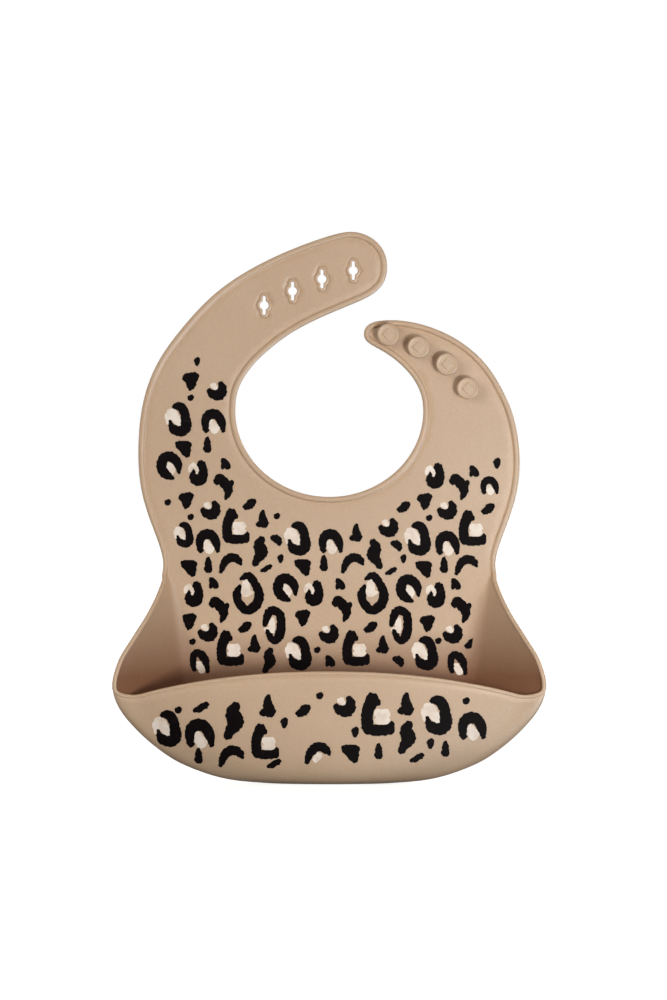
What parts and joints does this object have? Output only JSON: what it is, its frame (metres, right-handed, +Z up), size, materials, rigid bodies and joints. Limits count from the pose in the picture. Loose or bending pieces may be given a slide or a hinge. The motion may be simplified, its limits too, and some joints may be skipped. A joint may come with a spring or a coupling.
{
  "type": "silicone baby bib",
  "caption": "Soft silicone bib with a scoop catch pocket, a round neck opening and two neck straps that button together through keyhole slots.",
  "frame": {"origin": "on the flat back face, on the middle line between neckline and waist, 140 mm above the lowest point of the pocket", "axes": "+X across the bib towards the stud strap, +Y out of the back face, +Z up towards the straps"},
  "size_m": [0.2348, 0.0485, 0.3],
  "materials": {
    "silicone": "matt, fine grain"
  },
  "bodies": {
    "chest": {"chest_panel": "silicone", "chest_edge_left": "silicone", "chest_edge_right": "silicone", "neck_edge": "silicone"},
    "hole_strap": {"hole_strap_panel": "silicone", "hole_strap_outer_edge": "silicone", "hole_strap_inner_edge": "silicone", "hole_strap_flexure": "silicone"},
    "hole_end": {"hole_end_panel": "silicone", "hole_end_edge": "silicone", "hole_end_flexure": "silicone", "keyhole_lip_1": "silicone", "keyhole_lip_2": "silicone", "keyhole_lip_3": "silicone", "keyhole_lip_4": "silicone"},
    "stud_strap": {"stud_strap_panel": "silicone", "stud_strap_edge": "silicone", "stud_strap_flexure": "silicone", "stud_1": "silicone", "stud_2": "silicone", "stud_3": "silicone", "stud_4": "silicone"},
    "lower_panel": {"lower_panel": "silicone", "waist_flexure": "silicone", "gusset_left": "silicone", "gusset_right": "silicone", "gusset_rim_left": "silicone", "gusset_rim_right": "silicone", "pocket_floor": "silicone"},
    "pocket_front": {"pocket_front": "silicone", "pocket_rim": "silicone"}
  },
  "joints": [
    {"name": "hole_strap_bend", "type": "hinge", "parent": "chest", "child": "hole_strap", "pos_m": [0, -0.0008, 0.04], "axis": [-1, 0, 0], "range_deg": [-40, 85], "stiffness_Nm_per_rad": 0.02, "deforming": ["hole_strap_flexure"]},
    {"name": "hole_end_bend", "type": "hinge", "parent": "hole_strap", "child": "hole_end", "pos_m": [-0.0546, -0.0008, 0.107], "axis": [-0.8471, 0, 0.5314], "range_deg": [-40, 70], "stiffness_Nm_per_rad": 0.01, "deforming": ["hole_end_flexure"]},
    {"name": "stud_strap_bend", "type": "hinge", "parent": "chest", "child": "stud_strap", "pos_m": [0, -0.0008, 0.04], "axis": [-1, 0, 0], "range_deg": [-40, 85], "stiffness_Nm_per_rad": 0.02, "deforming": ["stud_strap_flexure"]},
    {"name": "waist_bend", "type": "hinge", "parent": "chest", "child": "lower_panel", "pos_m": [0, -0.0008, -0.016], "axis": [-1, 0, 0], "range_deg": [-25, 50], "stiffness_Nm_per_rad": 0.03, "deforming": ["waist_flexure"]},
    {"name": "pocket_press", "type": "hinge", "parent": "lower_panel", "child": "pocket_front", "pos_m": [0, -0.014, -0.132], "axis": [-1, 0, 0], "range_deg": [-8, 16], "stiffness_Nm_per_rad": 0.03, "deforming": ["gusset_left", "gusset_right", "gusset_rim_left", "gusset_rim_right", "pocket_floor"]}
  ]
}
